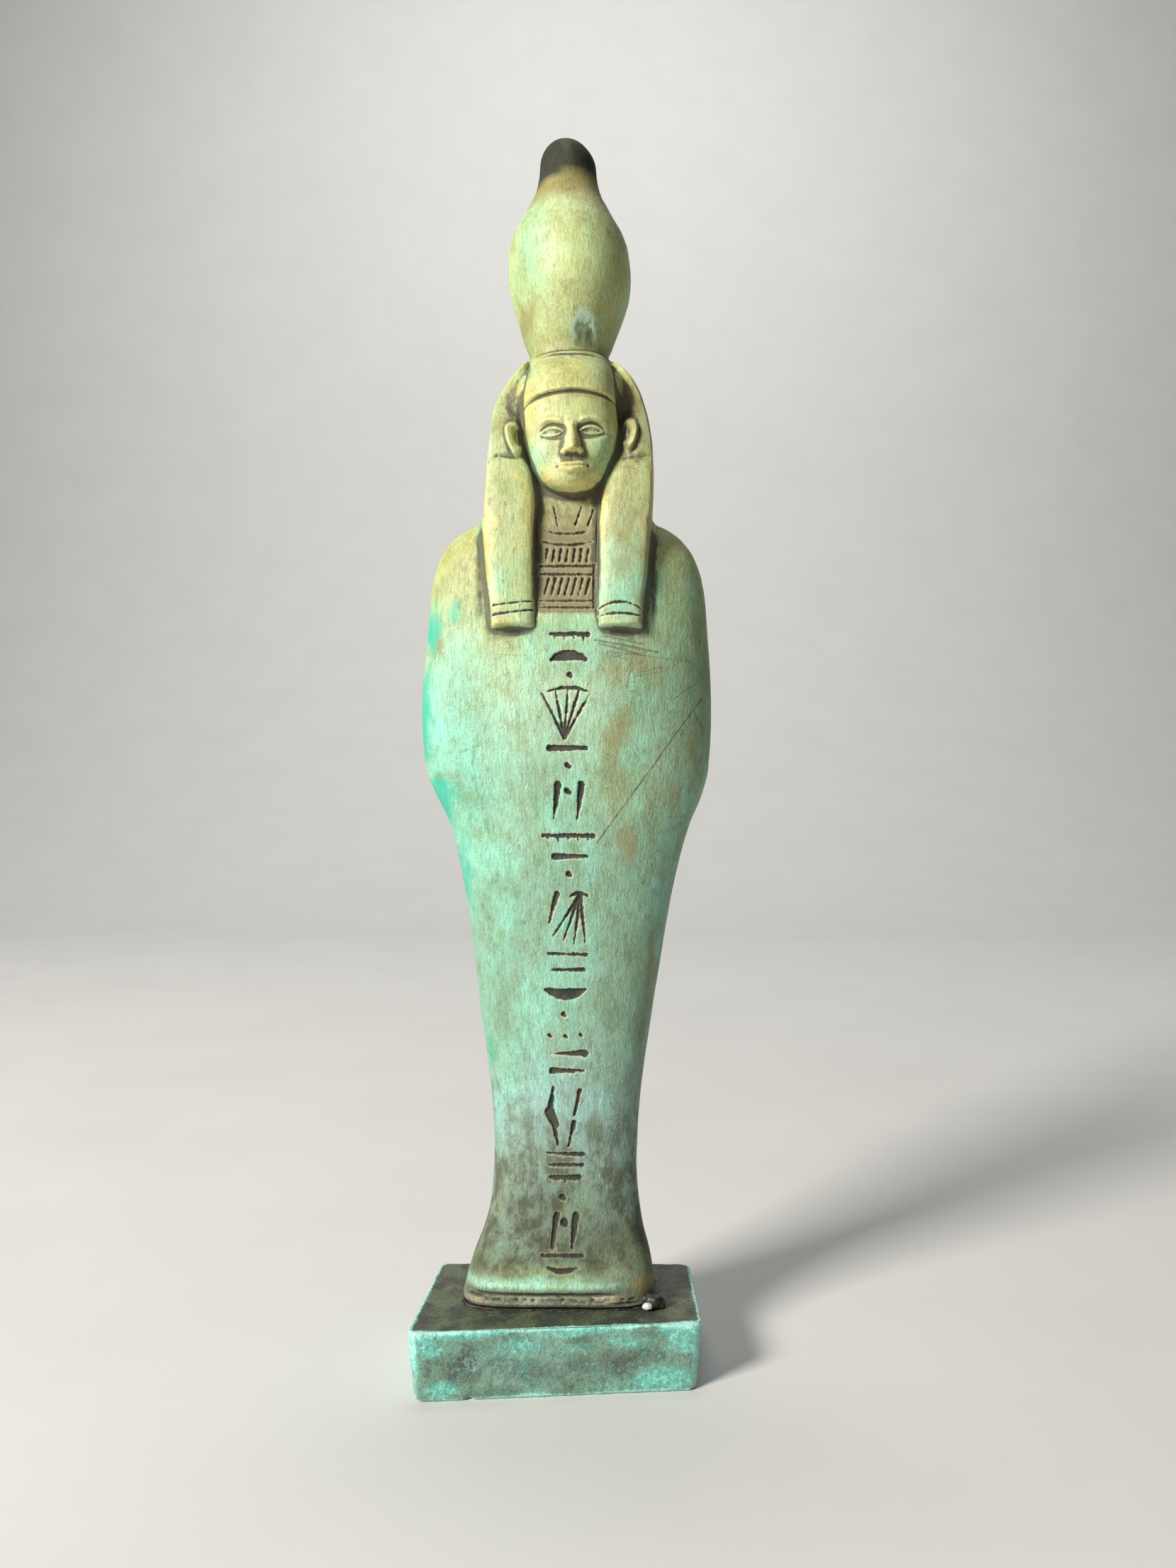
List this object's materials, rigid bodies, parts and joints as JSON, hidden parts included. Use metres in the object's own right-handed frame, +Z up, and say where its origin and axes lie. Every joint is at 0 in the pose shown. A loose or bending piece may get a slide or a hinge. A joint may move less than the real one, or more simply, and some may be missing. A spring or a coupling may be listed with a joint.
{
  "type": "osiris statuette",
  "caption": "Carved stone statuette of a wrapped mummy-shaped figure with a tall bulbous crown and a wig, standing on a rectangular plinth.",
  "frame": {"origin": "middle of the bounding box, on the plinth's underside", "axes": "+Z up to the tip of the crown; the figure faces -Y; +X is to the viewer's right"},
  "size_m": [0.0642, 0.037, 0.2708],
  "materials": {
    "figure_stone": "soft stone with a worn green and turquoise glaze-like patina, satin",
    "plinth_stone": "soft stone with a turquoise patina and dark grime, satin",
    "adhesive": "hardened dark adhesive in the seam under the foot, semi-gloss"
  },
  "bodies": {
    "root": {"figure": "figure_stone", "plinth": "plinth_stone"}
  },
  "joints": []
}
